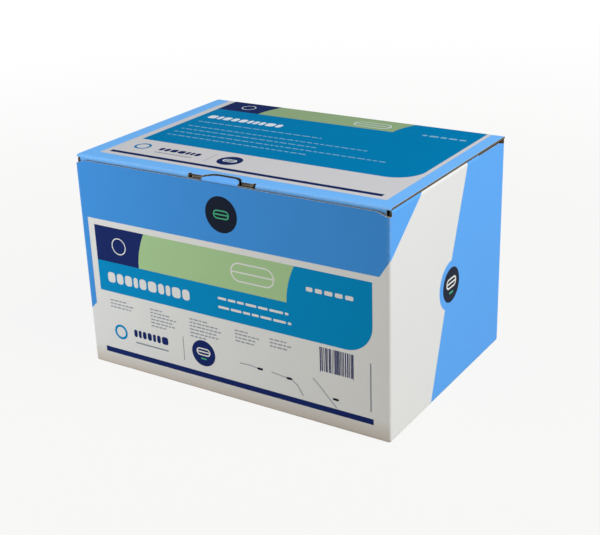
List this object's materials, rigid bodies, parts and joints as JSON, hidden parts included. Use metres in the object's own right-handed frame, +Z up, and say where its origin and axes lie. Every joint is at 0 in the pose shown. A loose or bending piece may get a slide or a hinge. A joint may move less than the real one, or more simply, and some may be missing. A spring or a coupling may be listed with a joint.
{
  "type": "box of cattle boluses",
  "caption": "Tuck-top folding carton of fine corrugated board with a hinged lid, a lock tab, a slotted divider and round pressed boluses standing in its cells.",
  "frame": {"origin": "middle of the underside, on the surface that the box stands on", "axes": "+X along the box's width, front wall facing -Y, +Z up"},
  "size_m": [0.25, 0.174, 0.1609],
  "materials": {
    "printed_board": "satin offset print on white-lined board",
    "kraft_board": "matt unbleached corrugated board",
    "pressed_powder": "matt pressed powder"
  },
  "bodies": {
    "carton": {"carton": "printed_board", "divider_long_1": "kraft_board", "divider_long_2": "kraft_board", "divider_short_1": "kraft_board", "divider_short_2": "kraft_board", "divider_short_3": "kraft_board", "bolus_01": "pressed_powder", "bolus_02": "pressed_powder", "bolus_03": "pressed_powder", "bolus_04": "pressed_powder", "bolus_05": "pressed_powder", "bolus_06": "pressed_powder", "bolus_07": "pressed_powder", "bolus_08": "pressed_powder", "bolus_09": "pressed_powder", "bolus_10": "pressed_powder", "bolus_11": "pressed_powder", "bolus_12": "pressed_powder"},
    "lid": {"lid": "printed_board"},
    "lock_tab": {"lock_tab": "printed_board"}
  },
  "joints": [
    {"name": "lid_hinge", "type": "hinge", "parent": "carton", "child": "lid", "pos_m": [0, 0.087, 0.15915], "axis": [-1, 0, 0], "range_deg": [0, 180]},
    {"name": "lock_tab_hinge", "type": "hinge", "parent": "carton", "child": "lock_tab", "pos_m": [0, -0.087, 0.15815], "axis": [1, 0, 0], "range_deg": [0, 90]}
  ]
}
